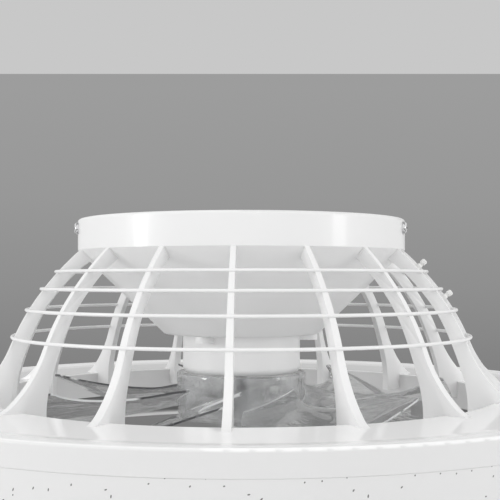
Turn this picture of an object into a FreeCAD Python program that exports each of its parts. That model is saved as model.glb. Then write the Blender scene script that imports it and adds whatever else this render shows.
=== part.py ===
import FreeCAD, Part
import math
import os

# Caged ceiling fan with a ring lamp.  Millimetres, +Z up.
# Origin: centre of the ceiling bracket, on the face that meets the ceiling, so the fan hangs below z = 0.
# A heading is an angle in degrees from the front (-Y) round towards the right (+X).

# ---- driving dimensions -------------------------------------------------------------------------
LAMP_R = 250.0            # outside of the ring lamp
HOLE_R = 174.8            # open middle of the ring lamp
PLATE_TOP = -119.0        # flat top of the ring lamp
RIM_TOP = -117.1          # its outer rim, which rises a little
SEAM = -131.0             # joint between lamp housing and shade, outside
SKIRT_BOTTOM = -139.0     # the same joint, inside the open middle
SHADE_BOTTOM = -160.0
COLLAR_R = 113.8          # collar against the ceiling
COLLAR_BOTTOM = -21.1
BOWL_SLOPE = 1.03         # how much wider the bowl gets for each mm of height
BOWL_BOTTOM = -79.0
MOTOR_R = 41.2
MOTOR_BOTTOM = -106.0
CUP_R = 45.4              # clear cup that carries the blades
CUP_TOP = -105.8
CUP_BOTTOM = -138.2
BLADE_TIP_R = 147.5
BLADES = 7
BLADE_HEADING = 27.6      # middle line of the first blade
RIBS = 16
HOOPS = ((129.7, -35.8), (139.5, -47.5), (149.3, -61.6), (158.7, -79.6))  # outer radius, height
HOOP_SECTION_R = 1.1
MOULDED = 2.2             # wall of the plastic mouldings
SHEET = 1.5               # sheet steel
PLAY = 0.05               # radial room of a screw or shaft in its hole

ORIGIN = FreeCAD.Vector(0, 0, 0)
X_AXIS = FreeCAD.Vector(1, 0, 0)
Y_AXIS = FreeCAD.Vector(0, 1, 0)
Z_AXIS = FreeCAD.Vector(0, 0, 1)


# ---- helpers ------------------------------------------------------------------------------------
def save(name, *solids):
    """Write one node: a single solid, or a group of like solids."""
    shape = solids[0] if len(solids) == 1 else Part.makeCompound(list(solids))
    good = all(s.isValid() and s.isClosed() and s.Volume > 0 for s in shape.Solids)
    print("%-20s solids %3d faces %4d %s" % (name, len(shape.Solids), len(shape.Faces), "" if good else "BAD"))
    shape.exportStep("parts/%s.step" % name)


def box(x0, x1, y0, y1, z0, z1):
    return Part.makeBox(x1 - x0, y1 - y0, z1 - z0, FreeCAD.Vector(x0, y0, z0))


def rod(radius, z0, z1, x=0.0, y=0.0):
    return Part.makeCylinder(radius, z1 - z0, FreeCAD.Vector(x, y, z0))


def tube(outer, inner, z0, z1):
    return rod(outer, z0, z1).cut(rod(inner, z0 - 1, z1 + 1))


def moved(shape, x=0.0, y=0.0, z=0.0):
    copy = shape.copy()
    copy.translate(FreeCAD.Vector(x, y, z))
    return copy


def spun(shape, angle, axis=Z_AXIS):
    copy = shape.copy()
    copy.rotate(ORIGIN, axis, angle)
    return copy


def at_heading(shape, heading):
    """Turn a shape that was drawn on the +X side to a heading."""
    return spun(shape, heading - 90.0)


def spot(radius, heading):
    """The x and y of a point at a radius and heading."""
    angle = math.radians(heading - 90.0)
    return radius * math.cos(angle), radius * math.sin(angle)


def headings(count, first=0.0):
    return [first + 360.0 * i / count for i in range(count)]


def round_corner(before, corner, after, radius):
    """The first tangent point, the middle and the second tangent point of a round corner."""
    back = (before - corner).normalize()
    ahead = (after - corner).normalize()
    half = back.getAngle(ahead) / 2.0
    reach = radius / math.tan(half)
    bisector = (back + ahead).normalize()
    middle = corner + bisector * (radius / math.sin(half) - radius)
    return corner + back * reach, middle, corner + ahead * reach


def outline(points):
    """A closed face in the X-Z plane.  A point is (x, z) or (x, z, corner radius)."""
    corners = [FreeCAD.Vector(p[0], 0, p[1]) for p in points]
    edges = []
    ends = []
    for i, point in enumerate(points):
        corner = corners[i]
        if len(point) == 2:
            ends.append((corner, None, corner))
        else:
            ends.append(round_corner(corners[i - 1], corner, corners[(i + 1) % len(corners)], point[2]))
    for i, (first, middle, last) in enumerate(ends):
        if middle is not None:
            edges.append(Part.Arc(first, middle, last).toShape())
        edges.append(Part.makeLine(last, ends[(i + 1) % len(ends)][0]))
    return Part.Face(Part.Wire(edges))


def turned(points):
    """A body of revolution from its outline."""
    return outline(points).revolve(ORIGIN, Z_AXIS, 360)


def pan_screw(head_r, head_h, shank_r, length):
    """A pan head screw with a cross recess, its head above z = 0 and its shank below."""
    head = rod(head_r, 0, head_h)
    rim = [e for e in head.Edges if e.BoundBox.ZMin > head_h - 0.01]
    head = head.makeFillet(0.6 * head_h, rim)
    slot = box(-0.55 * head_r, 0.55 * head_r, -0.14 * head_r, 0.14 * head_r, 0.5 * head_h, head_h + 1)
    head = head.cut(slot).cut(spun(slot, 90))
    return head.fuse(rod(shank_r, -length, 0))


def bent_tube(route, radius):
    """A round tube of straight runs and tangent arcs, each arc as large as its two runs allow."""
    points = [FreeCAD.Vector(*p) for p in route]
    edges = []
    bends = []
    last = points[0]
    for before, corner, after in zip(points, points[1:], points[2:]):
        turn = (corner - before).getAngle(after - corner)
        shorter = min((corner - before).Length, (after - corner).Length)
        bends.append(0.45 * shorter / math.tan(turn / 2.0))
        first, middle, end = round_corner(before, corner, after, bends[-1])
        edges.append(Part.makeLine(last, first))
        edges.append(Part.Arc(first, middle, end).toShape())
        last = end
    edges.append(Part.makeLine(last, points[-1]))
    path = Part.Wire(edges)
    section = Part.Wire(Part.makeCircle(radius, points[0], points[1] - points[0]))
    cable = path.makePipeShell([section], True, False)
    ideal = math.pi * radius ** 2 * path.Length
    print("tube of radius %.1f, bends" % radius, " ".join("%.0f" % bend for bend in bends))
    print("length %.1f, volume over section times length %.4f" % (path.Length, cable.Volume / ideal))
    return cable


# ---- ceiling bracket: a steel strip with two cross ends and four bent tabs that carry the collar -----
TAB_FACE = 109.3          # outer face of the tabs
TAB_HALF = 6.0            # half of a tab's width
SIDE_SCREW_HEADINGS = (74.5, 105.5, 254.5, 285.5)
SIDE_SCREW_R = 2.0
SIDE_SCREW_Z = -6.5
SLOT_SPACING = 90.0
SLOT_LENGTH = 14.0
SLOT_WIDTH = 5.2
CABLE_HOLE_R = 12.0


def side_hole(radius):
    """A hole for a side screw, along +X."""
    return moved(spun(rod(radius, 90, 130), 90, Y_AXIS), z=SIDE_SCREW_Z)


def ceiling_bracket():
    strip = box(-TAB_FACE, TAB_FACE, -22, 22, -SHEET, 0)
    for x in (-TAB_FACE, TAB_FACE - 24):
        strip = strip.fuse(box(x, x + 24, -38, 38, -SHEET, 0))
    strip = strip.common(rod(TAB_FACE, -SHEET, 0))
    tab = box(TAB_FACE - SHEET, TAB_FACE, -TAB_HALF, TAB_HALF, -13, -SHEET).cut(side_hole(SIDE_SCREW_R))
    tab = tab.fuse(box(TAB_FACE - 8, TAB_FACE, -TAB_HALF, TAB_HALF, -SHEET, 0))
    for heading in SIDE_SCREW_HEADINGS:
        for y in (-TAB_HALF - 1.6, TAB_HALF):
            strip = strip.cut(at_heading(box(TAB_FACE - 4.5, TAB_FACE + 1, y, y + 1.6, -SHEET, 0), heading))
        strip = strip.fuse(at_heading(tab, heading))
    for x in (-SLOT_SPACING / 2, SLOT_SPACING / 2):
        half = (SLOT_LENGTH - SLOT_WIDTH) / 2
        strip = strip.cut(box(x - half, x + half, -SLOT_WIDTH / 2, SLOT_WIDTH / 2, -SHEET, 0))
        for end in (x - half, x + half):
            strip = strip.cut(rod(SLOT_WIDTH / 2, -SHEET, 0, end))
    return strip.cut(rod(CABLE_HOLE_R, -SHEET, 0)).removeSplitter()


# ---- collar: the drum against the ceiling -----------------------------------------------------------
COLLAR_WALL = 2.4
SEAT_R = 4.6              # shallow round seat in the collar for a side screw's head
SEAT_FLOOR = 113.2
LUG_R = 103.0             # where the four bowl screws stand
LUG_TOP = -12.0
LUG_BOTTOM = -14.5
LUG_HEADINGS = headings(4, 45.0)
BOWL_SCREW_R = 1.5


def cage_collar():
    inner = COLLAR_R - COLLAR_WALL
    collar = turned([(COLLAR_R, COLLAR_BOTTOM), (COLLAR_R, 0, 1.8), (inner, 0), (inner, COLLAR_BOTTOM)])
    pad = box(TAB_FACE, inner + 1, -8, 8, -14, -0.5)
    seat = moved(spun(rod(SEAT_R, SEAT_FLOOR, 130), 90, Y_AXIS), z=SIDE_SCREW_Z)
    for heading in SIDE_SCREW_HEADINGS:
        collar = collar.fuse(at_heading(pad, heading))
        collar = collar.cut(at_heading(side_hole(SIDE_SCREW_R + 0.2), heading)).cut(at_heading(seat, heading))
    for heading in LUG_HEADINGS:
        lug = box(LUG_R - 5.5, inner + 1, -7, 7, LUG_BOTTOM, LUG_TOP)
        lug = lug.cut(rod(BOWL_SCREW_R + PLAY, LUG_BOTTOM, LUG_TOP, LUG_R))
        collar = collar.fuse(at_heading(lug, heading))
    return collar.removeSplitter()


def collar_screws():
    screw = pan_screw(4.0, 3.1, SIDE_SCREW_R - PLAY, 7.0)
    screw = moved(spun(screw, 90, Y_AXIS), x=SEAT_FLOOR, z=SIDE_SCREW_Z)
    return [at_heading(screw, heading) for heading in SIDE_SCREW_HEADINGS]


# ---- cage: sixteen flat ribs with flared feet, and four hoops let into their outer edges -------------
RIB_OUTER = ((128.6, -35.8), (138.4, -47.5), (148.2, -61.6), (157.6, -79.6), (162.6, -90.8),
             (168.4, -100.2), (173.3, -106.4), (178.7, -111.9), (184.6, -116.7))
RIB_TOE = (189.8, PLATE_TOP)
RIB_INNER = ((106.4, -27.6), (117.3, -36.0), (128.2, -47.5), (138.9, -61.6), (147.9, -79.6),
             (154.2, -96.0), (158.0, -109.0), (159.4, -121.0))
LEG_R = 159.4             # inner face of the legs, which reach down into the open middle
LEG_BOTTOM = -131.0
RIB_TOP_HALF = 1.6        # half of a rib's thickness at the collar
RIB_FOOT_HALF = 2.7       # and at the foot
FOOT_SCREW_R = 1.5
FOOT_SCREW_AT = 180.8


def smooth(points):
    curve = Part.BSplineCurve()
    curve.interpolate([FreeCAD.Vector(r, 0, z) for r, z in points])
    return curve.toShape()


def straight(*points):
    return Part.makePolygon([FreeCAD.Vector(r, 0, z) for r, z in points]).Edges


def rib_blank():
    """A rib on the +X side, before the hoops are let in."""
    seat = COLLAR_R - COLLAR_WALL
    edges = [smooth(((COLLAR_R, COLLAR_BOTTOM),) + RIB_OUTER + (RIB_TOE,))]
    edges += straight(RIB_TOE, (HOLE_R - PLAY, PLATE_TOP), (HOLE_R - PLAY, LEG_BOTTOM), (LEG_R, LEG_BOTTOM),
                      RIB_INNER[-1])
    edges += [smooth(RIB_INNER)]
    edges += straight(RIB_INNER[0], (seat, COLLAR_BOTTOM), (COLLAR_R, COLLAR_BOTTOM))
    plate = Part.Face(Part.Wire(Part.__sortEdges__(edges)))
    plate = moved(plate, y=-10).extrude(FreeCAD.Vector(0, 20, 0))
    taper = Part.makePolygon([FreeCAD.Vector(90, y, z) for y, z in (
        (-RIB_TOP_HALF, COLLAR_BOTTOM), (RIB_TOP_HALF, COLLAR_BOTTOM),
        (RIB_FOOT_HALF, LEG_BOTTOM), (-RIB_FOOT_HALF, LEG_BOTTOM), (-RIB_TOP_HALF, COLLAR_BOTTOM))])
    wedge = Part.Face(taper).extrude(FreeCAD.Vector(120, 0, 0))
    rib = plate.common(wedge)
    return rib.cut(rod(FOOT_SCREW_R + PLAY, PLATE_TOP - 1, PLATE_TOP + 3.6, FOOT_SCREW_AT))


def cage_hoops():
    return [Part.makeTorus(radius - HOOP_SECTION_R, HOOP_SECTION_R, FreeCAD.Vector(0, 0, z), Z_AXIS)
            for radius, z in HOOPS]


def cage_rib():
    rib = rib_blank()
    for hoop in cage_hoops():
        rib = rib.cut(hoop)
    return rib.Solids[0]


def foot_screws():
    screw = spun(pan_screw(2.7, 1.6, FOOT_SCREW_R, 5.8), 180, X_AXIS)
    screw = moved(screw, x=FOOT_SCREW_AT, z=PLATE_TOP - MOULDED)
    return [at_heading(screw, heading) for heading in headings(RIBS)]


# ---- bowl: the cone that hides the electronics and carries the motor ----------------------------------
BOWL_TOP_R = COLLAR_R - 0.2
BOWL_FLOOR = BOWL_BOTTOM + MOULDED
BOWL_OPENING_R = 21.0
MOTOR_SCREW_AT = 49.0
MOTOR_SCREW_HEADINGS = headings(3, -30.0)
MOTOR_SCREW_R = 1.5
POST_Y = 36.0             # two posts under the receiver box
POST_TOP = -66.0
LEAD_R = 2.0              # the lamp's lead and the motor's lead


def bowl_radius(z):
    return BOWL_TOP_R + BOWL_SLOPE * (z - COLLAR_BOTTOM)


def motor_bowl(ribs, lead_way):
    wall = MOULDED * math.hypot(1.0, BOWL_SLOPE)
    bottom_r = bowl_radius(BOWL_BOTTOM)
    outside = [(BOWL_TOP_R, COLLAR_BOTTOM), (bottom_r, BOWL_BOTTOM, 4.0)]
    inside = [(bowl_radius(BOWL_FLOOR) - wall, BOWL_FLOOR, 2.0), (BOWL_TOP_R - wall, COLLAR_BOTTOM)]
    bowl = turned(outside + [(BOWL_OPENING_R, BOWL_BOTTOM), (BOWL_OPENING_R, BOWL_FLOOR)] + inside)
    room = turned(outside + [(0, BOWL_BOTTOM), (0, COLLAR_BOTTOM)])
    room = room.fuse(rod(BOWL_TOP_R - wall, COLLAR_BOTTOM, LUG_BOTTOM))
    for heading in LUG_HEADINGS:
        x, y = spot(LUG_R, heading)
        boss = rod(4.2, -34, LUG_BOTTOM, x, y).common(room)
        bowl = bowl.fuse(boss).cut(rod(BOWL_SCREW_R + PLAY, LUG_BOTTOM - 9, LUG_BOTTOM, x, y))
    for y in (-POST_Y, POST_Y):
        post = rod(4.0, BOWL_FLOOR - 1, POST_TOP, 0, y)
        bowl = bowl.fuse(post).cut(rod(1.25, POST_TOP - 8, POST_TOP, 0, y))
    for heading in MOTOR_SCREW_HEADINGS:
        x, y = spot(MOTOR_SCREW_AT, heading)
        bowl = bowl.cut(rod(MOTOR_SCREW_R + PLAY, BOWL_BOTTOM - 1, BOWL_FLOOR + 1, x, y))
    return bowl.cut(lead_way).cut(ribs).removeSplitter()


def bowl_screws():
    screw = pan_screw(2.9, 1.8, BOWL_SCREW_R, 10.5)
    return [moved(screw, *spot(LUG_R, heading), z=LUG_TOP) for heading in LUG_HEADINGS]


# ---- receiver: a box on two posts in the bowl, with its board and the mains terminal block -------------
BOX_X = 24.0
BOX_Y = 46.0
BOX_TOP = -42.0
LID_TOP = -40.0
MOTOR_LEAD_X = 17.0
LEAD_Y = 5.3              # the lamp's lead runs beside the rib at heading 90
LEAD_ENTRY_Z = -52.0      # where the lamp's lead enters the box
SOCKET_X = 20.2           # outer face of the socket that both leads meet in the box
SOCKET_BOTTOM = -61.0


def receiver_box(lead_way):
    case = box(-BOX_X, BOX_X, -BOX_Y, BOX_Y, POST_TOP, BOX_TOP)
    case = case.makeFillet(3.0, [e for e in case.Edges if e.Length > BOX_TOP - POST_TOP - 0.01 and
                                 e.BoundBox.ZLength > 1])
    case = case.cut(box(-BOX_X + 2, BOX_X - 2, -BOX_Y + 2, BOX_Y - 2, POST_TOP + 2, BOX_TOP + 1))
    for x in (-17, 17):
        for y in (-24, 24):
            case = case.fuse(rod(2.5, POST_TOP + 1, POST_TOP + 6, x, y))
    for y in (-POST_Y, POST_Y):
        case = case.cut(rod(1.5, POST_TOP - 1, POST_TOP + 3, 0, y))
    case = case.cut(rod(LEAD_R + PLAY, POST_TOP - 1, POST_TOP + 3, MOTOR_LEAD_X))
    return case.cut(lead_way).removeSplitter()


def receiver_lid():
    lid = box(-BOX_X, BOX_X, -BOX_Y, BOX_Y, BOX_TOP, LID_TOP)
    lid = lid.makeFillet(3.0, [e for e in lid.Edges if e.BoundBox.ZLength > 1])
    lip = box(-BOX_X + 2.1, BOX_X - 2.1, -BOX_Y + 2.1, BOX_Y - 2.1, BOX_TOP - 2, BOX_TOP)
    hollow = box(-BOX_X + 4, BOX_X - 4, -BOX_Y + 4, BOX_Y - 4, BOX_TOP - 2, BOX_TOP)
    return lid.fuse(lip.cut(hollow)).removeSplitter()


def receiver_board():
    """The board and the tall components on it."""
    bottom = POST_TOP + 6
    board = box(-20.5, 12.5, -30, 30, bottom, bottom + 1.6)
    face = bottom + 1.6
    board_edge = box(12.5, 20.5, 12, 30, bottom, face)
    board = board.fuse(board_edge).fuse(box(12.5, 20.5, -30, -12, bottom, face)).removeSplitter()
    transformer = box(-16, -2, -26, -12, face, face + 11)
    capacitors = [rod(4.0, face, face + 12, -12, y) for y in (2, 14)]
    relay = box(-2, 8, 14, 28, face, face + 9)
    receiver_chip = box(-1, 7, -8, 4, face, face + 1.4)
    socket = box(12.5, SOCKET_X, -4, 9, SOCKET_BOTTOM, -48)
    return [board, transformer, relay, receiver_chip, socket] + capacitors


def receiver_screws():
    screw = pan_screw(2.4, 1.5, 1.2, 7.0)
    return [moved(screw, y=y, z=POST_TOP + 2) for y in (-POST_Y, POST_Y)]


TERMINALS = (-8.0, 0.0, 8.0)
TERMINAL_TOP = -28.0


def terminal_block():
    block = box(-13, 13, 22, 36, LID_TOP, TERMINAL_TOP)
    for x in TERMINALS:
        wire_way = spun(rod(1.8, 0, 30), 90, X_AXIS)
        block = block.cut(moved(wire_way, x=x, y=44, z=LID_TOP + 5))
        block = block.cut(rod(2.0, LID_TOP + 5, TERMINAL_TOP + 1, x, 29))
    return block.removeSplitter()


def terminal_screws():
    screw = rod(1.9, TERMINAL_TOP - 5, TERMINAL_TOP - 0.6)
    screw = screw.cut(box(-2, 2, -0.3, 0.3, TERMINAL_TOP - 1.3, TERMINAL_TOP))
    return [moved(screw, x=x, y=29) for x in TERMINALS]


# ---- motor: a fixed can under the bowl, with the stator inside and a bearing at each end ---------------
SHAFT_R = 4.0
BEARING_R = 11.0
BEARING_HEIGHT = 7.0
CAP_BOTTOM = BOWL_BOTTOM - 1.6
UPPER_BEARING_TOP = CAP_BOTTOM
CAN_FLOOR = MOTOR_BOTTOM + MOULDED
STATOR_TOP = -87.4
STATOR_BOTTOM = -97.0
STATOR_R = 38.45
TEETH = 9
TOOTH_TIP_R = 20.8
YOKE_R = 33.5
BOARD_BOTTOM = -83.6
BOSS_BOTTOM = -83.3


def motor_housing():
    can = turned([(MOTOR_R, BOWL_BOTTOM), (39.0, BOWL_BOTTOM), (39.0, CAP_BOTTOM), (38.5, CAP_BOTTOM),
                  (38.5, STATOR_BOTTOM), (36.5, STATOR_BOTTOM), (36.5, CAN_FLOOR, 3.0), (13.5, CAN_FLOOR),
                  (13.5, CAN_FLOOR + 6.3), (BEARING_R + PLAY, CAN_FLOOR + 6.3), (BEARING_R + PLAY, CAN_FLOOR),
                  (SHAFT_R + 0.6, CAN_FLOOR), (SHAFT_R + 0.6, MOTOR_BOTTOM), (MOTOR_R, MOTOR_BOTTOM, 4.5)])
    for heading in MOTOR_SCREW_HEADINGS:
        ear = rod(4.3, BOSS_BOTTOM, BOWL_BOTTOM, MOTOR_SCREW_AT)
        ear = ear.fuse(box(MOTOR_R - 1.5, MOTOR_SCREW_AT, -4.3, 4.3, BOSS_BOTTOM, BOWL_BOTTOM))
        ear = ear.cut(rod(MOTOR_SCREW_R + PLAY, BOSS_BOTTOM + 0.8, BOWL_BOTTOM, MOTOR_SCREW_AT))
        can = can.fuse(at_heading(ear, heading))
    return can.removeSplitter()


def motor_end_plate():
    cup_bottom = UPPER_BEARING_TOP - BEARING_HEIGHT
    plate = turned([(38.95, BOWL_BOTTOM), (38.95, CAP_BOTTOM), (13.5, CAP_BOTTOM), (13.5, cup_bottom),
                    (BEARING_R + PLAY, cup_bottom), (BEARING_R + PLAY, UPPER_BEARING_TOP),
                    (6.0, UPPER_BEARING_TOP), (6.0, BOWL_BOTTOM)])
    return plate.cut(rod(LEAD_R + PLAY, -90, -70, MOTOR_LEAD_X))


def motor_screws():
    screw = pan_screw(2.9, 1.8, MOTOR_SCREW_R, 5.2)
    return [moved(screw, *spot(MOTOR_SCREW_AT, heading), z=BOWL_FLOOR) for heading in MOTOR_SCREW_HEADINGS]


def bearing(top):
    """A ball bearing as its two races joined by the shields, with a groove in each face."""
    race = tube(BEARING_R, SHAFT_R + 0.02, top - BEARING_HEIGHT, top)
    groove = tube(8.8, 6.2, top - 0.5, top + 1)
    low_groove = tube(8.8, 6.2, top - BEARING_HEIGHT - 1, top - BEARING_HEIGHT + 0.5)
    return race.cut(groove).cut(low_groove)


def stator_core():
    core = tube(STATOR_R, YOKE_R, STATOR_BOTTOM, STATOR_TOP)
    for angle in headings(TEETH):
        tooth = box(TOOTH_TIP_R + 1, YOKE_R + 1, -3, 3, STATOR_BOTTOM, STATOR_TOP)
        tip = tube(TOOTH_TIP_R + 1.8, TOOTH_TIP_R, STATOR_BOTTOM, STATOR_TOP)
        tip = tip.common(box(10, 30, -5.6, 5.6, STATOR_BOTTOM, STATOR_TOP))
        core = core.fuse(spun(tooth.fuse(tip), angle))
    return core.removeSplitter()


def stator_coils():
    coil = box(23.6, 32.6, -6.2, 6.2, STATOR_BOTTOM - 2.4, STATOR_TOP + 2.4)
    coil = coil.makeFillet(1.5, [e for e in coil.Edges if e.BoundBox.XLength > 8])
    coil = coil.cut(box(20, 36, -3, 3, STATOR_BOTTOM, STATOR_TOP))
    return [spun(coil, angle) for angle in headings(TEETH)]


def stator_frames():
    """Two plastic rings on the yoke's ends; the upper one has posts that carry the motor's board."""
    upper = tube(38.0, 34.0, STATOR_TOP, STATOR_TOP + 1.2)
    for angle in headings(3, 20.0):
        post = rod(1.8, STATOR_TOP + 1, BOARD_BOTTOM, 36.0)
        upper = upper.fuse(spun(post, angle))
    return [upper.removeSplitter(), tube(36.3, 34.0, STATOR_BOTTOM - 1.2, STATOR_BOTTOM)]


def motor_board():
    board = tube(STATOR_R - 0.1, 15.0, BOARD_BOTTOM, BOARD_BOTTOM + 1.2)
    return board


def motor_lead():
    return rod(LEAD_R, BOARD_BOTTOM + 1.2, SOCKET_BOTTOM, MOTOR_LEAD_X)


# ---- rotor: shaft, magnet wheel, and the clear impeller clamped on the shaft's lower end ---------------
PIN_Z = -131.6
PIN_R = 1.0
HUB_R = 9.0
HUB_TOP = -130.4
HUB_BOTTOM = -143.6
HUB_RING_R = 16.3         # a ring wall round the hub, above and below the cup's floor
HUB_RING_TOP = -117.4
THREAD_R = 3.0
WASHER_THICK = 1.2
NUT_HEIGHT = 5.0
CLIP_Z = -107.2


def motor_shaft():
    shaft = rod(SHAFT_R, HUB_BOTTOM, BOWL_BOTTOM - 0.6)
    shaft = shaft.fuse(rod(THREAD_R, HUB_BOTTOM - WASHER_THICK - NUT_HEIGHT - 1.5, HUB_BOTTOM))
    shaft = shaft.cut(tube(SHAFT_R + 1, SHAFT_R - 0.5, CLIP_Z, CLIP_Z + 0.8))
    cross = moved(spun(rod(PIN_R, -20, 20), 90, Y_AXIS), z=PIN_Z)
    return shaft.cut(cross).removeSplitter()


def rotor_core():
    return tube(15.6, SHAFT_R + 0.01, -96.2, -88.6)


def rotor_magnets():
    magnet = tube(20.2, 15.6, -96.2, -88.6)
    gap = box(0, 30, -0.3, 0.3, -97, -88)
    for angle in headings(8):
        magnet = magnet.cut(spun(gap, angle))
    return magnet.Solids


def drive_pin():
    return moved(spun(rod(PIN_R, -7.5, 7.5), 90, Y_AXIS), z=PIN_Z)


def shaft_clip():
    clip = tube(6.4, SHAFT_R - 0.5, CLIP_Z, CLIP_Z + 0.8)
    return clip.cut(box(0, 10, -1.6, 1.6, CLIP_Z - 1, CLIP_Z + 2))


def clamp_washer():
    return tube(9.5, THREAD_R + PLAY, HUB_BOTTOM - WASHER_THICK, HUB_BOTTOM)


def hub_nut():
    """A domed hexagon nut over the threaded end of the shaft."""
    top = HUB_BOTTOM - WASHER_THICK
    corners = [FreeCAD.Vector(7.0 * math.cos(a), 7.0 * math.sin(a), top) for a in
               (math.radians(60 * i) for i in range(7))]
    hexagon = Part.Face(Part.makePolygon(corners)).extrude(FreeCAD.Vector(0, 0, -NUT_HEIGHT))
    dome_top = top - NUT_HEIGHT
    dome = turned([(0, dome_top), (5.8, dome_top), (5.8, dome_top - 3.6, 3.0), (0, dome_top - 3.6)])
    bore = rod(THREAD_R + PLAY, dome_top - 1.8, top)
    return hexagon.fuse(dome).cut(bore).removeSplitter()


# A blade is drawn along +X, in the frame of its middle line.  Each section stands across it at
# one distance from the axis: height of the middle line, slope, camber and half thickness.
BLADE_SECTIONS = ((34.0, -124.0, 0.34, 0.8, 0.9), (70.0, -126.9, 0.35, 1.2, 0.75),
                  (106.0, -130.9, 0.36, 1.2, 0.7), (156.0, -133.7, 0.37, 0.6, 0.65))
BLADE_REACH_BACK = -48.0
BLADE_REACH_AHEAD = 78.0
BLADE_ROOT_R = 44.3       # inside the cup's wall
BLADE_LEADING = ((39.2, 20.6), (55.0, 15.7), (69.0, 11.8), (97.1, 18.7), (120.5, 36.5), (134.1, 61.5))
BLADE_TRAILING = ((144.5, -29.4), (119.5, -32.5), (90.0, -32.5), (66.0, -30.0), (50.0, -23.5), (40.5, -17.0))


def blade_strip():
    """A long twisted strip, wider than the blade."""
    wires = []
    for x, height, slope, camber, half in BLADE_SECTIONS:
        rows = []
        for side in (half, -half):
            ends = [FreeCAD.Vector(x, y, height + slope * y + side) for y in (BLADE_REACH_BACK, BLADE_REACH_AHEAD)]
            middle = (ends[0] + ends[1]) * 0.5 + FreeCAD.Vector(0, 0, camber)
            rows.append((ends[0], middle, ends[1]))
        upper, lower = rows
        wires.append(Part.Wire([Part.Arc(*upper).toShape(), Part.makeLine(upper[2], lower[2]),
                                Part.Arc(*reversed(lower)).toShape(), Part.makeLine(lower[0], upper[0])]))
    return Part.makeLoft(wires, True, False)


def blade_plan():
    """The blade's outline seen from above, as a tall prism."""
    flat = [[FreeCAD.Vector(x, y, CUP_BOTTOM - 20) for x, y in side] for side in (BLADE_LEADING, BLADE_TRAILING)]
    leading = Part.BSplineCurve()
    leading.interpolate(flat[0])
    trailing = Part.BSplineCurve()
    trailing.interpolate(flat[1])
    tip_start = flat[0][-1]
    tip_end = flat[1][0]
    bulge = FreeCAD.Vector(BLADE_TIP_R * 0.995, 12.0, CUP_BOTTOM - 20)
    tip = Part.Arc(tip_start, bulge, tip_end)
    root_middle = FreeCAD.Vector(BLADE_ROOT_R, 0, CUP_BOTTOM - 20)
    root = Part.Arc(flat[1][-1], root_middle, flat[0][0])
    plan = Part.Face(Part.Wire([leading.toShape(), tip.toShape(), trailing.toShape(), root.toShape()]))
    prism = plan.extrude(FreeCAD.Vector(0, 0, 60))
    corners = [e for e in prism.Edges if e.BoundBox.ZLength > 50 and e.BoundBox.XMin > 100]
    return prism.makeFillet(4.0, corners)


def impeller():
    """One clear moulding: a cup with a hub and a ring wall on its floor, and seven twisted blades."""
    floor = CUP_BOTTOM + 2.8
    ring_inner = HUB_RING_R - MOULDED
    cup = turned([(CUP_R, CUP_TOP, 0.9), (CUP_R - 0.9, CUP_BOTTOM, 5.5), (HUB_RING_R, CUP_BOTTOM, 1.0),
                  (HUB_RING_R, HUB_BOTTOM, 0.6), (ring_inner, HUB_BOTTOM, 0.6), (ring_inner, CUP_BOTTOM),
                  (HUB_R, CUP_BOTTOM), (HUB_R, HUB_BOTTOM, 0.4), (SHAFT_R + PLAY, HUB_BOTTOM),
                  (SHAFT_R + PLAY, HUB_TOP), (HUB_R, HUB_TOP, 0.8), (HUB_R, floor, 1.2), (ring_inner, floor, 1.2),
                  (ring_inner, HUB_RING_TOP, 0.7), (HUB_RING_R, HUB_RING_TOP, 0.7), (HUB_RING_R, floor, 1.2),
                  (CUP_R - 0.9 - MOULDED, floor, 3.6), (CUP_R - MOULDED, CUP_TOP, 0.9)])
    pin_slot = box(-HUB_R - 1, HUB_R + 1, -PIN_R - PLAY, PIN_R + PLAY, PIN_Z - PIN_R, HUB_TOP + 1)
    blade = blade_strip().common(blade_plan())
    whole = cup.cut(pin_slot)
    for heading in headings(BLADES, BLADE_HEADING):
        whole = whole.fuse(at_heading(blade, heading))
    return whole.removeSplitter()


# ---- ring lamp: housing, light board and milky shade ---------------------------------------------------
LED_BOARD_TOP = -127.0
LED_BOARD_THICK = 1.6
LED_SCREW_AT = 212.0
LED_ROWS = ((200.0, 48), (226.0, 60))   # radius of a ring of light chips, and how many
SPIGOT_TOP = -126.6
RIM_START = 226.0         # radius from which the top plate rises to its rim
PLUG_X = 204.0            # where the lead meets its plug on the light board


def lamp_housing(lead_way):
    wall_in = LAMP_R - 0.2 - MOULDED
    under = PLATE_TOP - MOULDED
    skirt = HOLE_R + MOULDED
    housing = turned([(HOLE_R, PLATE_TOP, 0.9), (RIM_START, PLATE_TOP, 60.0), (LAMP_R - 0.2, RIM_TOP, 1.9),
                      (LAMP_R, SEAM, 0.3), (wall_in, SEAM), (wall_in, under, 1.5), (skirt, under),
                      (skirt, SKIRT_BOTTOM), (HOLE_R, SKIRT_BOTTOM)])
    for heading in headings(8, 11.25):
        x, y = spot(LED_SCREW_AT, heading)
        boss = rod(4.0, LED_BOARD_TOP, under + 0.5, x, y)
        housing = housing.fuse(boss).cut(rod(1.3, LED_BOARD_TOP, LED_BOARD_TOP + 5, x, y))
    for heading in headings(RIBS):
        x, y = spot(FOOT_SCREW_AT, heading)
        housing = housing.cut(rod(FOOT_SCREW_R + PLAY, under - 1, PLATE_TOP + 1, x, y))
    return housing.cut(lead_way).removeSplitter()


def led_board():
    board = tube(240.0, 184.0, LED_BOARD_TOP - LED_BOARD_THICK, LED_BOARD_TOP)
    for heading in headings(8, 11.25):
        x, y = spot(LED_SCREW_AT, heading)
        board = board.cut(rod(1.3, LED_BOARD_TOP - 3, LED_BOARD_TOP + 1, x, y))
    return board


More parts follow.
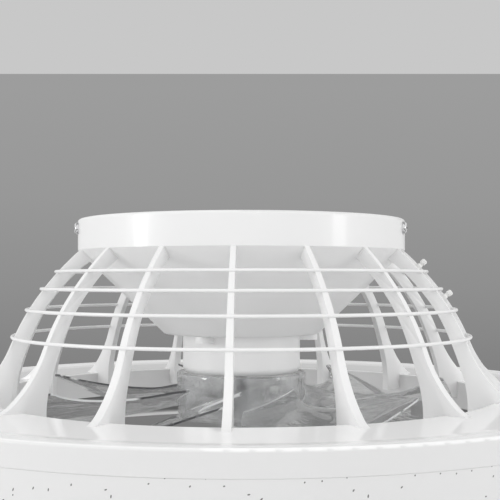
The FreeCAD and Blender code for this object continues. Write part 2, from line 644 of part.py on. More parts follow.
def led_chips():
    face = LED_BOARD_TOP - LED_BOARD_THICK
    chips = []
    for radius, count in LED_ROWS:
        chip = box(radius - 1.4, radius + 1.4, -1.75, 1.75, face - 0.8, face)
        chips += [at_heading(chip, heading) for heading in headings(count, 3.0)]
    return chips


def led_screws():
    screw = spun(pan_screw(2.5, 1.5, 1.25, 5.5), 180, X_AXIS)
    screw = moved(screw, z=LED_BOARD_TOP - LED_BOARD_THICK)
    return [moved(screw, *spot(LED_SCREW_AT, heading)) for heading in headings(8, 11.25)]


def led_connector():
    """The plug in which the lead ends, on top of the light board."""
    return box(PLUG_X, PLUG_X + 10, LEAD_Y - 4, LEAD_Y + 4, LED_BOARD_TOP, LED_BOARD_TOP + 5.2)


def lamp_shade():
    out_r = LAMP_R - 0.2
    in_r = HOLE_R + 0.1
    spigot_out = LAMP_R - 0.2 - MOULDED - 0.2
    return turned([(out_r, SEAM, 0.3), (out_r, SHADE_BOTTOM, 11.0), (in_r, SHADE_BOTTOM, 9.0),
                   (in_r, SKIRT_BOTTOM - 0.3), (in_r + MOULDED, SKIRT_BOTTOM - 0.3),
                   (in_r + MOULDED, SHADE_BOTTOM + MOULDED, 6.8),
                   (spigot_out - 2.0, SHADE_BOTTOM + MOULDED, 8.8), (spigot_out - 2.0, SPIGOT_TOP),
                   (spigot_out, SPIGOT_TOP), (spigot_out, SEAM)])


def shade_catches():
    """Six spring catches under the top plate that grip the shade's spigot."""
    inner = LAMP_R - 0.2 - MOULDED - 0.2 - 2.0
    foot = box(inner - 3.4, inner, -5, 5, PLATE_TOP - MOULDED - 1.0, PLATE_TOP - MOULDED)
    leaf = tube(inner - 0.02, inner - 1.0, SPIGOT_TOP - 3.5, PLATE_TOP - MOULDED)
    leaf = leaf.common(box(inner - 3, inner + 1, -5, 5, SPIGOT_TOP - 4, PLATE_TOP))
    catch = foot.fuse(leaf).removeSplitter()
    return [at_heading(catch, heading) for heading in headings(6, 15.0)]


# ---- the lamp's lead: from the light board up beside the right-hand rib into the receiver box ----------
LEAD_ROUTE = ((PLUG_X, -124.8), (193.5, -124.8), (186.0, -120.6), (174.5, -108.5), (166.0, -100.0),
              (158.8, -90.2), (152.6, -78.0), (144.0, -62.6), (134.0, -48.4), (123.0, -35.6),
              (111.0, -26.5), (98.5, -22.0), (84.0, -23.5), (68.5, -30.5), (52.5, -42.0),
              (37.0, LEAD_ENTRY_Z), (SOCKET_X, LEAD_ENTRY_Z))
TIES = ((124.77, -31.7, 46.1), (142.39, -52.87, 54.9))  # point on the rib's outer edge, its fall in degrees
TIE_WIDTH = 3.2
TIE_THICK = 0.9
TIE_DEPTH = 8.7
TIE_HEAD_HALF = 2.05


def led_lead(radius):
    return bent_tube([(x, LEAD_Y, z) for x, z in LEAD_ROUTE], radius)


def lead_ties():
    """Two cable ties round the rib and the lead, each with its head outside the rib."""
    ties = []
    for x, z, fall in TIES:
        side = LEAD_Y + LEAD_R + 0.15
        inside = box(-TIE_DEPTH, 0.15, -2.1, side, -TIE_WIDTH / 2, TIE_WIDTH / 2)
        band = box(-TIE_DEPTH - TIE_THICK, 0.15 + TIE_THICK, -2.1 - TIE_THICK, side + TIE_THICK,
                   -TIE_WIDTH / 2, TIE_WIDTH / 2)
        band = band.makeFillet(1.4, [e for e in band.Edges if e.BoundBox.ZLength > 3])
        neck = box(0.15 + TIE_THICK - 0.1, 2.4, -1.3, 1.3, -1.3, 1.3)
        head = box(1.9, 5.8, -TIE_HEAD_HALF, TIE_HEAD_HALF, -TIE_HEAD_HALF, TIE_HEAD_HALF)
        head = head.makeFillet(1.2, head.Edges)
        tie = band.cut(inside).fuse(neck).fuse(head).removeSplitter()
        ties.append(moved(spun(tie, fall - 90.0, Y_AXIS), x=x, z=z))
    return ties


# ---- build ---------------------------------------------------------------------------------------
os.makedirs("parts", exist_ok=True)

save("ceiling_bracket", ceiling_bracket())
save("cage_collar", cage_collar())
save("collar_screws", *collar_screws())
lead_way = led_lead(LEAD_R + 0.5)
rib = cage_rib()
ribs = [at_heading(rib, heading) for heading in headings(RIBS)]
for number, one_rib in enumerate(ribs, 1):
    save("cage_rib_%02d" % number, one_rib)
for number, hoop in enumerate(cage_hoops(), 1):
    save("cage_hoop_%d" % number, hoop)
save("foot_screws", *foot_screws())
save("motor_bowl", motor_bowl(ribs, lead_way))
save("bowl_screws", *bowl_screws())
save("receiver_box", receiver_box(lead_way))
save("receiver_lid", receiver_lid())
save("receiver_board", *receiver_board())
save("receiver_screws", *receiver_screws())
save("terminal_block", terminal_block())
save("terminal_screws", *terminal_screws())
save("motor_housing", motor_housing())
save("motor_end_plate", motor_end_plate())
save("motor_screws", *motor_screws())
save("upper_bearing", bearing(UPPER_BEARING_TOP))
save("lower_bearing", bearing(CAN_FLOOR + BEARING_HEIGHT))
save("stator_core", stator_core())
save("stator_coils", *stator_coils())
save("stator_frames", *stator_frames())
save("motor_board", motor_board())
save("motor_lead", motor_lead())
save("motor_shaft", motor_shaft())
save("rotor_core", rotor_core())
save("rotor_magnets", *rotor_magnets())
save("drive_pin", drive_pin())
save("shaft_clip", shaft_clip())
save("clamp_washer", clamp_washer())
save("hub_nut", hub_nut())
save("impeller", impeller())
save("lamp_housing", lamp_housing(lead_way))
save("led_board", led_board())
save("led_chips", *led_chips())
save("led_screws", *led_screws())
save("led_connector", led_connector())
save("lamp_shade", lamp_shade())
save("shade_catches", *shade_catches())
save("led_lead", led_lead(LEAD_R))
save("lead_ties", *lead_ties())
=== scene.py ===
import math

import bpy
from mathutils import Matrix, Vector


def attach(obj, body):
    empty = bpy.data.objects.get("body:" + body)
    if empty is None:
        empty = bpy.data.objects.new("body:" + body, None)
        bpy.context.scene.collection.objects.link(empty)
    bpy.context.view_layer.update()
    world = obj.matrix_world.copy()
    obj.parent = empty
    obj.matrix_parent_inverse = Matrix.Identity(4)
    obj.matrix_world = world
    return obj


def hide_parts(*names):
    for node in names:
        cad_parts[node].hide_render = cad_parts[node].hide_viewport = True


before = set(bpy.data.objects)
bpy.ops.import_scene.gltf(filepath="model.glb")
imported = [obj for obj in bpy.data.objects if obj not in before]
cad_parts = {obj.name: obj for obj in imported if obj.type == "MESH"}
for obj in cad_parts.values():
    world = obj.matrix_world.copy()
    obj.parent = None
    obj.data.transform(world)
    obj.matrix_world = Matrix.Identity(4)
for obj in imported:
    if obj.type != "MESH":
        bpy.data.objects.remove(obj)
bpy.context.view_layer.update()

scene = bpy.context.scene
scene.view_settings.view_transform = "Standard"


# ---- Camera -----------------------------------------------------------------------------------------
# The fan is looked at level, from well under a metre away, a little below the ceiling and a little right
# of its front. The lens is shifted a little up and to the right, and the camera isn't tilted.
EYE_HEADING = math.radians(2.39)
EYE_DISTANCE = 0.688
EYE_HEIGHT = -0.0412

lens = bpy.data.cameras.new("eye")
lens.sensor_width = 36.0
lens.lens = 70.2
lens.shift_x = 0.0172
lens.shift_y = 0.0592
lens.clip_start = 0.01
eye = bpy.data.objects.new("eye", lens)
eye.location = (EYE_DISTANCE * math.sin(EYE_HEADING), -EYE_DISTANCE * math.cos(EYE_HEADING), EYE_HEIGHT)
eye.rotation_euler = (math.radians(90.0), 0.0, EYE_HEADING)
scene.collection.objects.link(eye)
scene.camera = eye


# ---- Studio: floor, backdrop and lamps --------------------------------------------------------------
# A pale round floor well below the fan, a grey backdrop all round it, and three soft square lamps in
# front. The backdrop sheds no light. Gloss sees both in other tones than a straight look does, and clear
# plastic sees the backdrop in them too.
class Field:
    """A shader socket that takes part in sums."""

    def __init__(self, tree, socket):
        self.tree = tree
        self.socket = socket

    def make(self, kind, settings=(), inputs=(), output=0):
        """Any other node: its type, its settings, what its sockets hold, and which output is used."""
        node = self.tree.nodes.new(kind)
        for name, value in dict(settings).items():
            if name == "stops":
                while len(node.color_ramp.elements) < len(value):
                    node.color_ramp.elements.new(0.5)
                for element, (position, colour) in zip(node.color_ramp.elements, value):
                    element.position = position
                    element.color = colour
            else:
                setattr(node, name, value)
        for key, value in dict(inputs).items():
            if isinstance(value, Field):
                self.tree.links.new(value.socket, node.inputs[key])
            else:
                node.inputs[key].default_value = value
        return Field(self.tree, node.outputs[output])

    def sibling(self, output):
        """Another output of the node that this value comes from."""
        return Field(self.tree, self.socket.node.outputs[output])

    def onto(self, surface):
        """Puts this shader on the surface."""
        self.tree.links.new(self.socket, surface)

    def maths(self, operation, first, second=0.0):
        return self.make("ShaderNodeMath", {"operation": operation}, {0: first, 1: second})

    def __add__(self, other):
        return self.maths("ADD", self, other)

    __radd__ = __add__

    def __sub__(self, other):
        return self.maths("SUBTRACT", self, other)

    def __rsub__(self, other):
        return self.maths("SUBTRACT", other, self)

    def __mul__(self, other):
        return self.maths("MULTIPLY", self, other)

    __rmul__ = __mul__

    def __truediv__(self, other):
        return self.maths("DIVIDE", self, other)

    def __pow__(self, other):
        return self.maths("POWER", self, other)

    def __gt__(self, other):
        return self.maths("GREATER_THAN", self, other)

    def __lt__(self, other):
        return self.maths("LESS_THAN", self, other)

    def __abs__(self):
        return self.maths("ABSOLUTE", self)

    def sine(self):
        return self.maths("SINE", self)

    def cosine(self):
        return self.maths("COSINE", self)

    def scaled(self, *factors):
        """A place with each of its axes stretched by its own factor."""
        return self.make("ShaderNodeVectorMath", {"operation": "MULTIPLY"}, {0: self, 1: factors})

    def part(self, axis):
        return self.make("ShaderNodeSeparateXYZ", (), {0: self}, axis)

    def noise(self, scale, detail):
        """Cloudy values over this place."""
        return self.make("ShaderNodeTexNoise", (), {"Vector": self, "Scale": scale, "Detail": detail})

    def relief(self, strength, depth):
        """A normal for a surface that has this value as its height."""
        return self.make("ShaderNodeBump", (), {"Strength": strength, "Distance": depth, "Height": self})

    def eased(self, low, high, start=0.0, end=1.0):
        return self.make("ShaderNodeMapRange", {"interpolation_type": "SMOOTHSTEP"},
                         {"Value": self, "From Min": low, "From Max": high, "To Min": start, "To Max": end})

    def between(self, first, second):
        """A colour from the first to the second as this value goes from 0 to 1."""
        return self.make("ShaderNodeMix", {"data_type": "RGBA"}, {"Factor": self, 6: first, 7: second}, 2)


def new_shader(name):
    """An empty material, its output node's surface socket, and the place on the piece."""
    material = bpy.data.materials.new(name)
    material.use_nodes = True
    tree = material.node_tree
    tree.nodes.clear()
    surface = tree.nodes.new("ShaderNodeOutputMaterial").inputs["Surface"]
    place = Field(tree, tree.nodes.new("ShaderNodeTexCoord").outputs["Object"])
    return material, surface, place


def looked_at(field):
    """1 on rays that show a thing: straight, mirrored or through clear plastic."""
    straight = field.make("ShaderNodeLightPath", output="Is Camera Ray")
    return (straight + straight.sibling("Is Glossy Ray") + straight.sibling("Is Transmission Ray")) > 0.5


def neutral(level):
    """A grey of this brightness as a shader colour."""
    return (level, level, level, 1.0)


def grey(tone):
    """A screen tone from 0 to 255 as a shader colour."""
    level = tone / 255.0
    return neutral(level / 12.92 if level <= 0.04045 else ((level + 0.055) / 1.055) ** 2.4)


bpy.ops.object.select_all(action="DESELECT")

# Seen from below, the floor is clear.
FLOOR_HEIGHT = -0.75
FLOOR_RADIUS = 3.77
FLOOR_TONE_IN_GLOSS = 140
bpy.ops.mesh.primitive_circle_add(vertices=128, radius=FLOOR_RADIUS, fill_type="TRIFAN",
                                  location=(0, 0, FLOOR_HEIGHT))
floor = bpy.context.object
floor.name = "floor"
shader, surface, place = new_shader("pale_floor")
tint = place.noise(scale=1.3, detail=3.0).between(neutral(0.74), neutral(0.78))
matt = place.make("ShaderNodeBsdfDiffuse", (), {"Color": tint})
dim = place.make("ShaderNodeEmission", (), {"Color": grey(FLOOR_TONE_IN_GLOSS), "Strength": 1.0})
clear = place.make("ShaderNodeBsdfTransparent")
mirrored = place.make("ShaderNodeLightPath", output="Is Glossy Ray")
underneath = place.make("ShaderNodeNewGeometry", output="Backfacing")
shown = place.make("ShaderNodeMixShader", (), {0: mirrored, 1: matt, 2: dim})
place.make("ShaderNodeMixShader", (), {0: underneath, 1: shown, 2: clear}).onto(surface)
floor.data.materials.append(shader)

# The backdrop is a square tube with broad round corners.
BACKDROP_AWAY = 2.6
BACKDROP_TALL = 4.0
BACKDROP_CORNER = 1.2
bpy.ops.mesh.primitive_cylinder_add(vertices=4, radius=BACKDROP_AWAY * math.sqrt(2), depth=BACKDROP_TALL,
                                    end_fill_type="NOTHING",
                                    location=(0, 0, FLOOR_HEIGHT + BACKDROP_TALL / 2),
                                    rotation=(0, 0, math.radians(45.0) + EYE_HEADING))
backdrop = bpy.context.object
backdrop.name = "backdrop"
bpy.ops.object.transform_apply(location=True, rotation=True, scale=True)
bpy.ops.object.mode_set(mode="EDIT")
bpy.ops.mesh.select_all(action="DESELECT")
bpy.ops.object.mode_set(mode="OBJECT")
for edge in backdrop.data.edges:
    low, high = (backdrop.data.vertices[v].co.z for v in edge.vertices)
    upright = abs(low - high) > BACKDROP_TALL / 2
    edge.select = upright
bpy.ops.object.mode_set(mode="EDIT")
bpy.ops.mesh.bevel(offset=BACKDROP_CORNER, segments=16)
bpy.ops.object.mode_set(mode="OBJECT")
bpy.ops.object.shade_smooth_by_angle(angle=math.radians(40.0))

# Straight on, it grows paler from its foot up and has a pale band above, with plain flanks and near side.
# Gloss and clear plastic show it paler, with a dark foot, and its flanks and near side as white panels.
SHADES = ((0.0, 118), (0.24, 132), (0.44, 143), (0.70, 152), (1.0, 157))
SHADES_FOOT, SHADES_TALL = -0.60, 1.20
SHADES_PALER = 0.25
DARK_FOOT_START, DARK_FOOT_FULL, DARK_FOOT_TONE = -0.36, -0.48, 72
BAND_HEIGHT, BAND_TONE = 0.6525, 200
FLANK_START, FLANK_FULL = 1.0, 1.6
NEAR_SIDE_START, NEAR_SIDE_FULL = -0.6, -1.2
WHITE_TONE, PLAIN_TONE = 238, 158
shader, surface, place = new_shader("grey_backdrop")
height = place.part(2)
straight = place.make("ShaderNodeLightPath", output="Is Camera Ray")
in_gloss = 1.0 - straight
tone = place.make("ShaderNodeValToRGB", {"stops": [(level, grey(tone)) for level, tone in SHADES]},
                  {"Fac": (height - SHADES_FOOT) / SHADES_TALL})
tone = (in_gloss * SHADES_PALER).between(tone, grey(WHITE_TONE))
# Painted shade: in gloss and through clear plastic, its foot goes dark where it meets the floor.
tone = (height.eased(DARK_FOOT_START, DARK_FOOT_FULL) * in_gloss).between(tone, grey(DARK_FOOT_TONE))
tone = (height > BAND_HEIGHT).between(tone, grey(BAND_TONE))
panel = straight.between(grey(WHITE_TONE), grey(PLAIN_TONE))
tone = abs(place.part(0)).eased(FLANK_START, FLANK_FULL).between(tone, panel)
tone = place.part(1).eased(NEAR_SIDE_START, NEAR_SIDE_FULL).between(tone, panel)
glow = place.make("ShaderNodeEmission", (), {"Color": tone, "Strength": 1.0})
clear = place.make("ShaderNodeBsdfTransparent")
place.make("ShaderNodeMixShader", (), {0: looked_at(place), 1: clear, 2: glow}).onto(surface)
backdrop.data.materials.append(shader)

# The world lights the fan softly, bright in front and dim behind, and looks plain grey itself.
FRONT_LIGHT, BACK_LIGHT = 1.05, 0.30
BEHIND_START, BEHIND_FULL = 0.0, 0.7
WORLD_TONE = 160
world = bpy.data.worlds.new("studio")
world.use_nodes = True
world.node_tree.nodes.clear()
sky = Field(world.node_tree, world.node_tree.nodes.new("ShaderNodeTexCoord").outputs["Generated"])
behind = sky.part(1).eased(BEHIND_START, BEHIND_FULL)
ambient = behind.between(neutral(FRONT_LIGHT), neutral(BACK_LIGHT))
ambient = looked_at(sky).between(ambient, grey(WORLD_TONE))
glow = sky.make("ShaderNodeBackground", (), {"Color": ambient, "Strength": 1.0})
glow.onto(world.node_tree.nodes.new("ShaderNodeOutputWorld").inputs["Surface"])
scene.world = world


def softbox(name, place, size, power):
    """A square area lamp that faces the middle of the fan."""
    lamp = bpy.data.lights.new(name, "AREA")
    lamp.shape = "SQUARE"
    lamp.size = size
    lamp.energy = power
    holder = bpy.data.objects.new(name, lamp)
    holder.location = place
    fan_middle = Vector((0, 0, -0.08))
    holder.rotation_euler = (fan_middle - Vector(place)).to_track_quat("-Z", "Y").to_euler()
    scene.collection.objects.link(holder)


softbox("key_lamp", (-1.85, -0.80, 0.20), size=0.36, power=5.4)
softbox("fill_lamp", (1.85, -0.7, 0.20), size=0.36, power=2.7)
softbox("high_lamp", (0.0, -0.8, 1.5), size=1.0, power=1.5)


# ---- White mouldings: collar, ribs, hoops and motor can ---------------------------------------------
# Glossy white plastic from polished tools, nearly smooth, which drifts a little in colour and gloss. The
# ribs run down from the collar to the lamp, where their feet are screwed from below, with the hoops let
# into their outer edges. The motor's can hangs under the bowl by three ears.
def shade_of(colour, factor):
    """A colour made darker or paler, as a shader colour."""
    return tuple(c * factor for c in colour) + (1.0,)


def plastic(name, colour, roughness, drift=0.006, coat=0.0, grain=0.02):
    """A moulded plastic: drifting colour, cloudy gloss and a faint orange peel."""
    cloudiness = 0.10
    material, surface, place = new_shader(name)
    flow = place.noise(scale=8.0, detail=1.0)
    cloud = place.noise(scale=60.0, detail=3.0)
    peel = place.noise(scale=900.0, detail=2.0)
    place.make("ShaderNodeBsdfPrincipled", (), {
        "Base Color": flow.between(shade_of(colour, 1.0 - drift), shade_of(colour, 1.0 + drift)),
        "Roughness": cloud * cloudiness + (roughness - cloudiness / 2),
        "Normal": peel.relief(grain, depth=0.0002),
        "IOR": 1.5, "Coat Weight": coat, "Coat Roughness": 0.08}).onto(surface)
    return material


def dress(material, *names):
    """Give CAD nodes a finish."""
    for name in names:
        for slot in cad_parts[name].material_slots:
            slot.material = material


def copy_of(node, name, body, material, edge):
    """A piece that stands for a CAD node: its mesh, merged, flat faces joined, edges rounded."""
    piece = bpy.data.objects.new(name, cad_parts[node].data.copy())
    scene.collection.objects.link(piece)
    bpy.ops.object.select_all(action="DESELECT")
    piece.select_set(True)
    bpy.context.view_layer.objects.active = piece
    bpy.ops.object.mode_set(mode="EDIT")
    bpy.ops.mesh.select_all(action="SELECT")
    bpy.ops.mesh.customdata_custom_splitnormals_clear()
    bpy.ops.mesh.remove_doubles(threshold=2e-6)
    bpy.ops.mesh.dissolve_limited(angle_limit=math.radians(0.5))
    bpy.ops.object.mode_set(mode="OBJECT")
    rounding = piece.modifiers.new("edges", "BEVEL")
    rounding.width = edge
    rounding.segments = 2
    rounding.limit_method = "ANGLE"
    rounding.angle_limit = math.radians(40.0)
    bpy.ops.object.modifier_apply(modifier="edges")
    bpy.ops.object.shade_smooth_by_angle(angle=math.radians(28.0))
    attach(piece, body)
    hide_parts(node)
    piece.data.materials.clear()
    piece.data.materials.append(material)


white_gloss = plastic("white_gloss", (0.85, 0.85, 0.85), 0.32, coat=0.2)
for number in range(1, 17):
    copy_of("cage_rib_%02d" % number, "rib_%02d" % number, "housing", white_gloss,
            edge=0.0004)
dress(white_gloss, "cage_collar", "cage_hoop_1", "cage_hoop_2", "cage_hoop_3", "cage_hoop_4")
# The motor can's white is set paler than the cage's: painted light against the shade under the bowl.
can_gloss = plastic("can_gloss", (0.97, 0.97, 0.97), 0.30)
dress(can_gloss, "motor_housing")


# ---- Bowl -------------------------------------------------------------------------------------------
# The cone that hides the electronics, moulded in white and a little less glossy than the cage. Screws
# hold it under four lugs in the collar.
# Its white is set paler than the cage's: painted light against the shade inside the cage.
bowl_gloss = plastic("bowl_gloss", (0.97, 0.97, 0.97), 0.34)
dress(bowl_gloss, "motor_bowl")


# ---- Lamp housing -----------------------------------------------------------------------------------
# The broad plate that the cage stands on is the glossiest of the white mouldings, duller towards its rim.
# Painted shade greys its outer wall, and greys the dull wall round the open middle still more.
def from_axis(place):
    """How far a place is from the fan's axis."""
    return (place.part(0) * place.part(0) + place.part(1) * place.part(1)) ** 0.5


OUTER_START, OUTER_FULL = 0.2488, 0.2496
DULL_START, DULL_FULL = 0.226, 0.240
MIDDLE_FULL, MIDDLE_END = 0.1750, 0.1758
WALL_TOP = -0.1195
material, surface, place = new_shader("lamp_gloss")
radius = from_axis(place)
cloud = place.noise(scale=6.0, detail=1.0)
peel = place.noise(scale=900.0, detail=2.0)
# Painted shade: the outer wall is greyed a little, the wall round the open middle more.
shaded_outer_wall = radius.eased(OUTER_START, OUTER_FULL)
shaded_inner_wall = radius.eased(MIDDLE_FULL, MIDDLE_END, 1.0, 0.0) * (place.part(2) < WALL_TOP)
white = cloud.between(neutral(0.93), neutral(0.945))
white = shaded_outer_wall.between(white, neutral(0.79))
white = shaded_inner_wall.between(white, neutral(0.70))
dull = shaded_inner_wall * 0.25 + radius.eased(DULL_START, DULL_FULL) * 0.26
place.make("ShaderNodeBsdfPrincipled", (), {
    "Base Color": white, "Roughness": dull + cloud * 0.03 + 0.08,
    "Normal": peel.relief(0.004, depth=0.0002)}).onto(surface)
dress(material, "lamp_housing")


# ---- Metal: bracket, screws, shaft and bearings -----------------------------------------------------
# The bracket is bent from zinc plated strip that keeps the rolling's fine lines. Screws and the nut are
# plated and wear to a cloudy satin. The shaft and the bearing rings are ground.
def metal(name, colour, roughness, scratches=0.05, lines=(1.0, 1.0, 1.0)):
    """A plated or ground metal with cloudy wear and fine lines along one axis."""
    material, surface, place = new_shader(name)
    wear = place.noise(scale=180.0, detail=5.0)
    fine = place.scaled(*lines).noise(scale=1500.0, detail=2.0)
    tint = (wear * 0.6 + fine * 0.4).between(shade_of(colour, 0.86), shade_of(colour, 1.08))
    place.make("ShaderNodeBsdfPrincipled", (), {
        "Base Color": tint, "Roughness": wear * 0.16 + fine * 0.06 + (roughness - 0.09), "Metallic": 1.0,
        "Normal": fine.relief(scratches, depth=0.0002)}).onto(surface)
    return material


rolled_zinc = metal("rolled_zinc", (0.74, 0.75, 0.76), 0.36, scratches=0.12, lines=(0.02, 1.0, 1.0))
copy_of("ceiling_bracket", "bent_bracket", "housing", rolled_zinc, edge=0.0003)
zinc = metal("zinc_plate", (0.72, 0.73, 0.74), 0.34)
dress(zinc, "foot_screws", "bowl_screws", "receiver_screws", "motor_screws", "led_screws",
      "terminal_screws", "shaft_clip", "clamp_washer", "shade_catches", "motor_end_plate")
chrome = metal("chrome_plate", (0.82, 0.82, 0.83), 0.14)
dress(chrome, "collar_screws", "hub_nut")
ground_steel = metal("ground_steel", (0.36, 0.36, 0.37), 0.22, scratches=0.08, lines=(1.0, 1.0, 0.03))
dress(ground_steel, "motor_shaft", "drive_pin")

# A bearing's rings are bright, with a dark rubber seal pressed in between them.
SEAL_INNER, SEAL_OUTER = 0.0062, 0.0088
material, surface, place = new_shader("sealed_bearing")
radius = from_axis(place)
seal = (radius > SEAL_INNER) * (radius < SEAL_OUTER)
turned_lines = place.make("ShaderNodeTexNoise", {"noise_dimensions": "1D"}, {"W": radius, "Scale": 9000.0})
steel = turned_lines.between((0.55, 0.55, 0.56, 1), (0.70, 0.70, 0.71, 1))
place.make("ShaderNodeBsdfPrincipled", (), {
    "Base Color": seal.between(steel, (0.03, 0.03, 0.032, 1)), "Roughness": seal * 0.35 + 0.2,
    "Metallic": 1.0 - seal}).onto(surface)
dress(material, "upper_bearing", "lower_bearing")


# ---- Receiver, terminals and boards -----------------------------------------------------------------
# The receiver's box and lid are matt fire-resistant plastic with a spark-eroded grain. The boards are
# glass cloth under green lacquer: fine tracks show through it, and the solder joints stand out bright.
box_plastic = plastic("box_plastic", (0.72, 0.72, 0.69), 0.55, drift=0.03, grain=0.25)
dress(box_plastic, "receiver_box", "receiver_lid", "stator_frames")
terminal_plastic = plastic("terminal_plastic", (0.80, 0.79, 0.72), 0.42, drift=0.03, grain=0.08)
dress(terminal_plastic, "terminal_block", "led_connector")

SOLDER_REACH = 0.16
material, surface, place = new_shader("green_board")
tracks = place.make("ShaderNodeTexBrick", {"offset": 0.37, "squash": 0.6},
                    {"Vector": place, "Scale": 90.0, "Mortar Size": 0.06, "Mortar Smooth": 0.2}, "Fac")
cloth = place.noise(scale=1400.0, detail=1.0)
joints = place.make("ShaderNodeTexVoronoi", (), {"Vector": place, "Scale": 260.0, "Randomness": 0.6})
solder = joints < SOLDER_REACH
lacquer = cloth.between((0.015, 0.12, 0.04, 1), (0.03, 0.17, 0.06, 1))
lacquer = tracks.between(lacquer, (0.06, 0.30, 0.12, 1))
place.make("ShaderNodeBsdfPrincipled", (), {
    "Base Color": solder.between(lacquer, (0.62, 0.62, 0.60, 1)), "Roughness": 0.34 - solder * 0.08,
    "Metallic": solder * 0.9}).onto(surface)
dress(material, "receiver_board", "motor_board")


# ---- Light board and chips --------------------------------------------------------------------------
# The light board is aluminium under white lacquer, with tracks that run round it from chip to chip.
# Each chip is a white cup filled with yellow phosphor.
INNER_ROW, OUTER_ROW = 0.200, 0.226
TRACK_NEAR, TRACK_FAR = 0.0028, 0.0034


def tracks_beside(row, radius):
    """1 on the two tracks that run round the board beside a row of chips."""
    aside = abs(radius - row)
    return (aside > TRACK_NEAR) * (aside < TRACK_FAR)


material, surface, place = new_shader("white_board")
radius = from_axis(place)
tracks = tracks_beside(INNER_ROW, radius) + tracks_beside(OUTER_ROW, radius)
cloud = place.noise(scale=60.0, detail=3.0)
lacquer = cloud.between((0.80, 0.80, 0.78, 1), (0.85, 0.85, 0.83, 1))
place.make("ShaderNodeBsdfPrincipled", (), {
    "Base Color": tracks.between(lacquer, (0.66, 0.66, 0.62, 1)),
    "Roughness": cloud * 0.1 + 0.35}).onto(surface)
dress(material, "led_board")

FACES_DOWN = -0.7
material, surface, place = new_shader("phosphor_chip")
mouth = place.make("ShaderNodeNewGeometry", output="Normal").part(2) < FACES_DOWN
dots = place.noise(scale=2500.0, detail=1.0)
phosphor = dots.between((0.80, 0.62, 0.10, 1), (0.92, 0.78, 0.22, 1))
place.make("ShaderNodeBsdfPrincipled", (), {
    "Base Color": mouth.between((0.86, 0.86, 0.84, 1), phosphor),
    "Roughness": dots * 0.2 + 0.3}).onto(surface)
dress(material, "led_chips")


# ---- Motor's stator and magnet wheel ----------------------------------------------------------------
# The cores are stacks of half-millimetre steel sheets, whose edges show as fine lines. The coils are
# enamelled copper wire laid in rows, and the magnets are nickel plated.
def stacked(name, first, second, pitch, roughness):
    """Metal with lines across the fan's axis, one to each sheet or wire."""
    material, surface, place = new_shader(name)
    wobble = place.noise(scale=300.0, detail=2.0)
    line = (place.part(2) * (math.tau / pitch) + wobble * 0.8).sine() * 0.5 + 0.5
    place.make("ShaderNodeBsdfPrincipled", (), {
        "Base Color": line.between(first, second), "Roughness": wobble * 0.2 + roughness, "Metallic": 1.0,
        "Normal": line.relief(0.4, depth=pitch * 0.3)}).onto(surface)
    return material


sheets = stacked("stacked_sheets", (0.16, 0.16, 0.17, 1), (0.36, 0.36, 0.37, 1), 0.0005, 0.35)
dress(sheets, "stator_core", "rotor_core")
copper = stacked("laid_copper_wire", (0.30, 0.11, 0.04, 1), (0.74, 0.36, 0.17, 1), 0.0006, 0.22)
dress(copper, "stator_coils")
nickel = metal("nickel_plate", (0.30, 0.30, 0.31), 0.3)
dress(nickel, "rotor_magnets")


# ---- Leads and their ties ---------------------------------------------------------------------------
# Both leads have a soft white jacket, a little dull from handling. The two ties that hold the lamp's
# lead against its rib are natural nylon strip with square heads.
jacket = plastic("soft_jacket", (0.76, 0.76, 0.75), 0.52, drift=0.04, grain=0.12)
dress(jacket, "led_lead", "motor_lead")
nylon = plastic("natural_nylon", (0.84, 0.84, 0.83), 0.38, drift=0.03, grain=0.05)
dress(nylon, "lead_ties")


# ---- Impeller ---------------------------------------------------------------------------------------
# Cup and blades are one moulding in clear acrylic with a little haze, pinned to the motor's shaft. The
# blades' cut edges get painted highlight where they face front and right and painted shade elsewhere,
# and the tight inner corners get painted highlight lines. The haze is paler on the cup and greyer on
# the blades, which is painted light and shade.
def round_axis(place):
    """How far round the fan's axis a place is, as an angle."""
    return place.maths("ARCTAN2", place.part(1), place.part(0))


CUP_RADIUS = 0.047
LIP_RADIUS = 0.0400
LIP_FOOT, LIP_TOP = -0.1092, -0.1056
LIP_DEPTH = 7.5
STREAKS_ROUND, STREAKS_OUT, STREAKS_UP = 13.0, 14.0, 70.0
CUP_RIPPLE, RIPPLE_LOST_ON_BLADES = 1.3, 0.8
CUP_FILM, FILM_LOST_ON_BLADES = 0.26, 0.06
CUT_TILT = 0.25
CUT_COVER = 0.9
PALE_TO_RIGHT, PALE_TO_FRONT = 0.85, 0.53
PALE_START, PALE_FULL = 0.70, 0.90
PALE_BROKEN_BY_STREAKS = 0.8
CORNER_REACH = 0.0012
CORNER_START, CORNER_FULL = 0.92, 0.68
CORNER_COVER = 0.7
SHADOW_LET_THROUGH = 0.9
clear_acrylic, surface, place = new_shader("clear_acrylic")
radius = from_axis(place)
flow = place.make("ShaderNodeCombineXYZ", (), {
    "X": round_axis(place) * STREAKS_ROUND, "Y": radius * STREAKS_OUT, "Z": place.part(2) * STREAKS_UP})
streaks = flow.noise(scale=2.0, detail=2.0)
haze = place.noise(scale=45.0, detail=3.0)
blade = radius > CUP_RADIUS
lip = place.part(2).eased(LIP_FOOT, LIP_TOP) * (radius > LIP_RADIUS) * (radius < CUP_RADIUS)
height = streaks * (CUP_RIPPLE - blade * RIPPLE_LOST_ON_BLADES) - lip * LIP_DEPTH
ripple = height.relief(0.1, depth=0.002)
blade_veil = streaks.eased(0.36, 0.66, 0.06, 0.75)
cup_veil = haze.eased(0.42, 0.62, 0.05, 0.70)
clear = place.make("ShaderNodeBsdfPrincipled", (), {
    "Base Color": haze.between((0.95, 0.955, 0.955, 1), (0.99, 0.995, 0.995, 1)),
    "Roughness": haze * 0.01, "Transmission Weight": 1.0, "IOR": 1.49, "Normal": ripple})
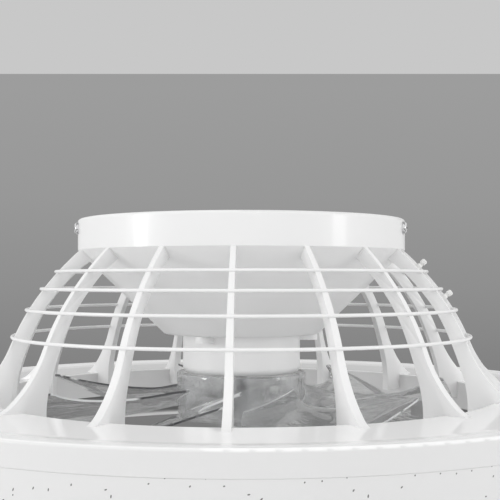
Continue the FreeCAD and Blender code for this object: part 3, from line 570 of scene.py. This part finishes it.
# The film is pale on the cup and grey on the blades: painted light on the cup, painted shade on the blades.
film = place.make("ShaderNodeBsdfPrincipled", (), {
    "Base Color": blade.between((0.90, 0.91, 0.92, 1), (0.45, 0.455, 0.46, 1)),
    "Roughness": haze * 0.1 + 0.10, "Alpha": blade_veil * blade + cup_veil * (1.0 - blade),
    "IOR": 1.49, "Normal": ripple})
film_share = CUP_FILM - blade * FILM_LOST_ON_BLADES
body = place.make("ShaderNodeMixShader", (), {0: film_share, 1: clear, 2: film})
facing = place.make("ShaderNodeNewGeometry", output="Normal")
# Painted highlight and shade: cut edges facing front and right are pale, the rest dark.
painted_light_side = facing.part(0) * PALE_TO_RIGHT - facing.part(1) * PALE_TO_FRONT
# Painted highlight lines: tight inner corners, found by occlusion, are coloured pale.
open_sky = place.make("ShaderNodeAmbientOcclusion", {"samples": 6, "only_local": True},
                      {"Distance": CORNER_REACH}, "AO")
corner = open_sky.eased(CORNER_START, CORNER_FULL)
broken = (streaks - 0.5) * PALE_BROKEN_BY_STREAKS
bright = (painted_light_side + broken).eased(PALE_START, PALE_FULL) + corner
cut = place.make("ShaderNodeBsdfPrincipled", (), {
    "Base Color": bright.between((0.05, 0.05, 0.055, 1), (0.97, 0.98, 0.985, 1)),
    "Roughness": haze * 0.1 + 0.30, "Alpha": 0.9, "IOR": 1.49, "Specular IOR Level": 0.3})
cut_share = (abs(facing.part(2)) < CUT_TILT) * blade * CUT_COVER + corner * CORNER_COVER
skin = place.make("ShaderNodeMixShader", (), {0: cut_share, 1: body, 2: cut})
shadow = place.make("ShaderNodeLightPath", output="Is Shadow Ray")
open_way = place.make("ShaderNodeBsdfTransparent", (), {"Color": neutral(0.93)})
place.make("ShaderNodeMixShader", (), {0: shadow * SHADOW_LET_THROUGH, 1: skin, 2: open_way}).onto(surface)
copy_of("impeller", "clear_impeller", "rotor", clear_acrylic, edge=0.00042)


# ---- Lamp shade -------------------------------------------------------------------------------------
# A milky acrylic ring, held up by catches inside the lamp. Small dark flecks in it, about one to each
# square centimetre, show as short slanting dashes. Painted shade darkens the wall round the open middle.
SHADE_RADIUS = 0.25
FLECK_SPACING = 0.0108
FLECK_WIDTH = 0.034
FLECK_SHORTEST, FLECK_LONGER = 0.035, 0.05
FLECK_LEAN, FLECK_TURN = 0.1, 1.4
FLECK_CLEAR, FLECK_DARK = 1.3, 0.6
PAINTED_SHADE_END, MILK_START = 0.1752, 0.1780
material, surface, place = new_shader("milky_shade")
radius = from_axis(place)
around = round_axis(place) * (SHADE_RADIUS / FLECK_SPACING)
down = (place.part(2) + radius) * (-1.0 / FLECK_SPACING)
spread = place.make("ShaderNodeCombineXYZ", (), {"X": around, "Y": down})
cells = spread.make("ShaderNodeTexVoronoi", {"voronoi_dimensions": "2D"}, {"Vector": spread, "Scale": 1.0})
centre = cells.sibling("Position")
chance = cells.sibling("Color")
right = around - centre.part(0)
up = down - centre.part(1)
lean = chance.part(0) * FLECK_TURN + FLECK_LEAN
across = right * lean.cosine() + up * lean.sine()
along = up * lean.cosine() - right * lean.sine()
length = chance.part(1) * FLECK_LONGER + FLECK_SHORTEST
reach = (across / FLECK_WIDTH) ** 2.0 + (along / length) ** 2.0
fleck = reach.eased(FLECK_CLEAR, FLECK_DARK)
cloud = place.noise(scale=18.0, detail=3.0)
milk = cloud.between(neutral(0.785), neutral(0.805))
milk = fleck.between(milk, neutral(0.17))
# Painted shade: the wall round the open middle is made dark grey.
milk = radius.eased(PAINTED_SHADE_END, MILK_START).between(neutral(0.15), milk)
place.make("ShaderNodeBsdfPrincipled", (), {
    "Base Color": milk, "Roughness": cloud * 0.06 + 0.27, "IOR": 1.49}).onto(surface)
dress(material, "lamp_shade")
